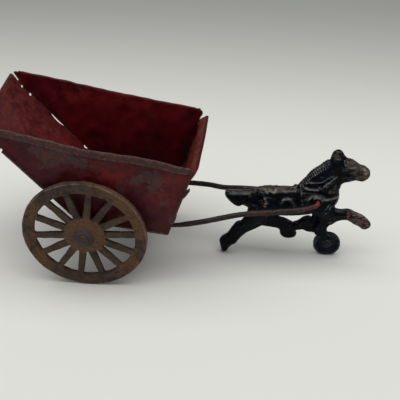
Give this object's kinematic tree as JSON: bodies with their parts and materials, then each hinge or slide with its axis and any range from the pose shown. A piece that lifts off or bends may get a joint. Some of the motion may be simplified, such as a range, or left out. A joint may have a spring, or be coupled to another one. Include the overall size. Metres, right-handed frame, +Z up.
{
  "type": "horse-drawn dump cart toy",
  "caption": "Two-wheeled pressed-steel dump cart toy drawn by a cast-iron horse on a guide wheel, with spoked wheels and wire shafts; the cart box tips on the axle.",
  "frame": {"origin": "on the ground under the middle of the toy's length and width", "axes": "+X from the cart to the horse, +Y to the horse's left, +Z up"},
  "size_m": [0.2505, 0.1062, 0.1153],
  "materials": {
    "sheet_paint": "worn dark red enamel with rust and bare grey patches",
    "wheel_iron": "brown-grey rusted casting, orange rust in the hollows",
    "axle_steel": "rusted rod with polished ends",
    "bracket_steel": "rusted sheet",
    "shaft_wire": "dark wire with remnants of red enamel",
    "horse_paint": "worn black-blue enamel on a casting, brown and cream wear on the high spots",
    "guide_iron": "worn black enamel, brown at the rim"
  },
  "bodies": {
    "shaft_frame": {"axle": "axle_steel", "shaft_right": "shaft_wire", "shaft_left": "shaft_wire"},
    "cart_box": {"folded_sheet": "sheet_paint", "side_panel_right": "sheet_paint", "side_panel_left": "sheet_paint", "axle_bracket_right": "bracket_steel", "axle_bracket_left": "bracket_steel", "bracket_rivet_right_front": "bracket_steel", "bracket_rivet_right_rear": "bracket_steel", "bracket_rivet_left_front": "bracket_steel", "bracket_rivet_left_rear": "bracket_steel"},
    "cart_wheel_right": {"cart_wheel_right": "wheel_iron"},
    "cart_wheel_left": {"cart_wheel_left": "wheel_iron"},
    "horse": {"horse_half_right": "horse_paint", "horse_half_left": "horse_paint", "horse_rivet_rear": "horse_paint", "horse_rivet_front": "horse_paint", "guide_wheel_pin": "guide_iron"},
    "guide_wheel": {"guide_wheel": "guide_iron"}
  },
  "joints": [
    {"name": "box_tip", "type": "hinge", "parent": "shaft_frame", "child": "cart_box", "pos_m": [-0.063, 0, 0.041], "axis": [0, -1, 0], "range_deg": [0, 70]},
    {"name": "cart_wheel_right_spin", "type": "hinge", "parent": "shaft_frame", "child": "cart_wheel_right", "pos_m": [-0.063, -0.0445, 0.041], "axis": [0, 1, 0], "continuous": true},
    {"name": "cart_wheel_left_spin", "type": "hinge", "parent": "shaft_frame", "child": "cart_wheel_left", "pos_m": [-0.063, 0.0445, 0.041], "axis": [0, 1, 0], "continuous": true},
    {"name": "horse_pivot", "type": "hinge", "parent": "shaft_frame", "child": "horse", "pos_m": [0.0875, 0, 0.0504], "axis": [0, -1, 0], "range_deg": [-30, 20]},
    {"name": "guide_wheel_spin", "type": "hinge", "parent": "horse", "child": "guide_wheel", "pos_m": [0.0972, 0, 0.0094], "axis": [0, 1, 0], "continuous": true}
  ]
}
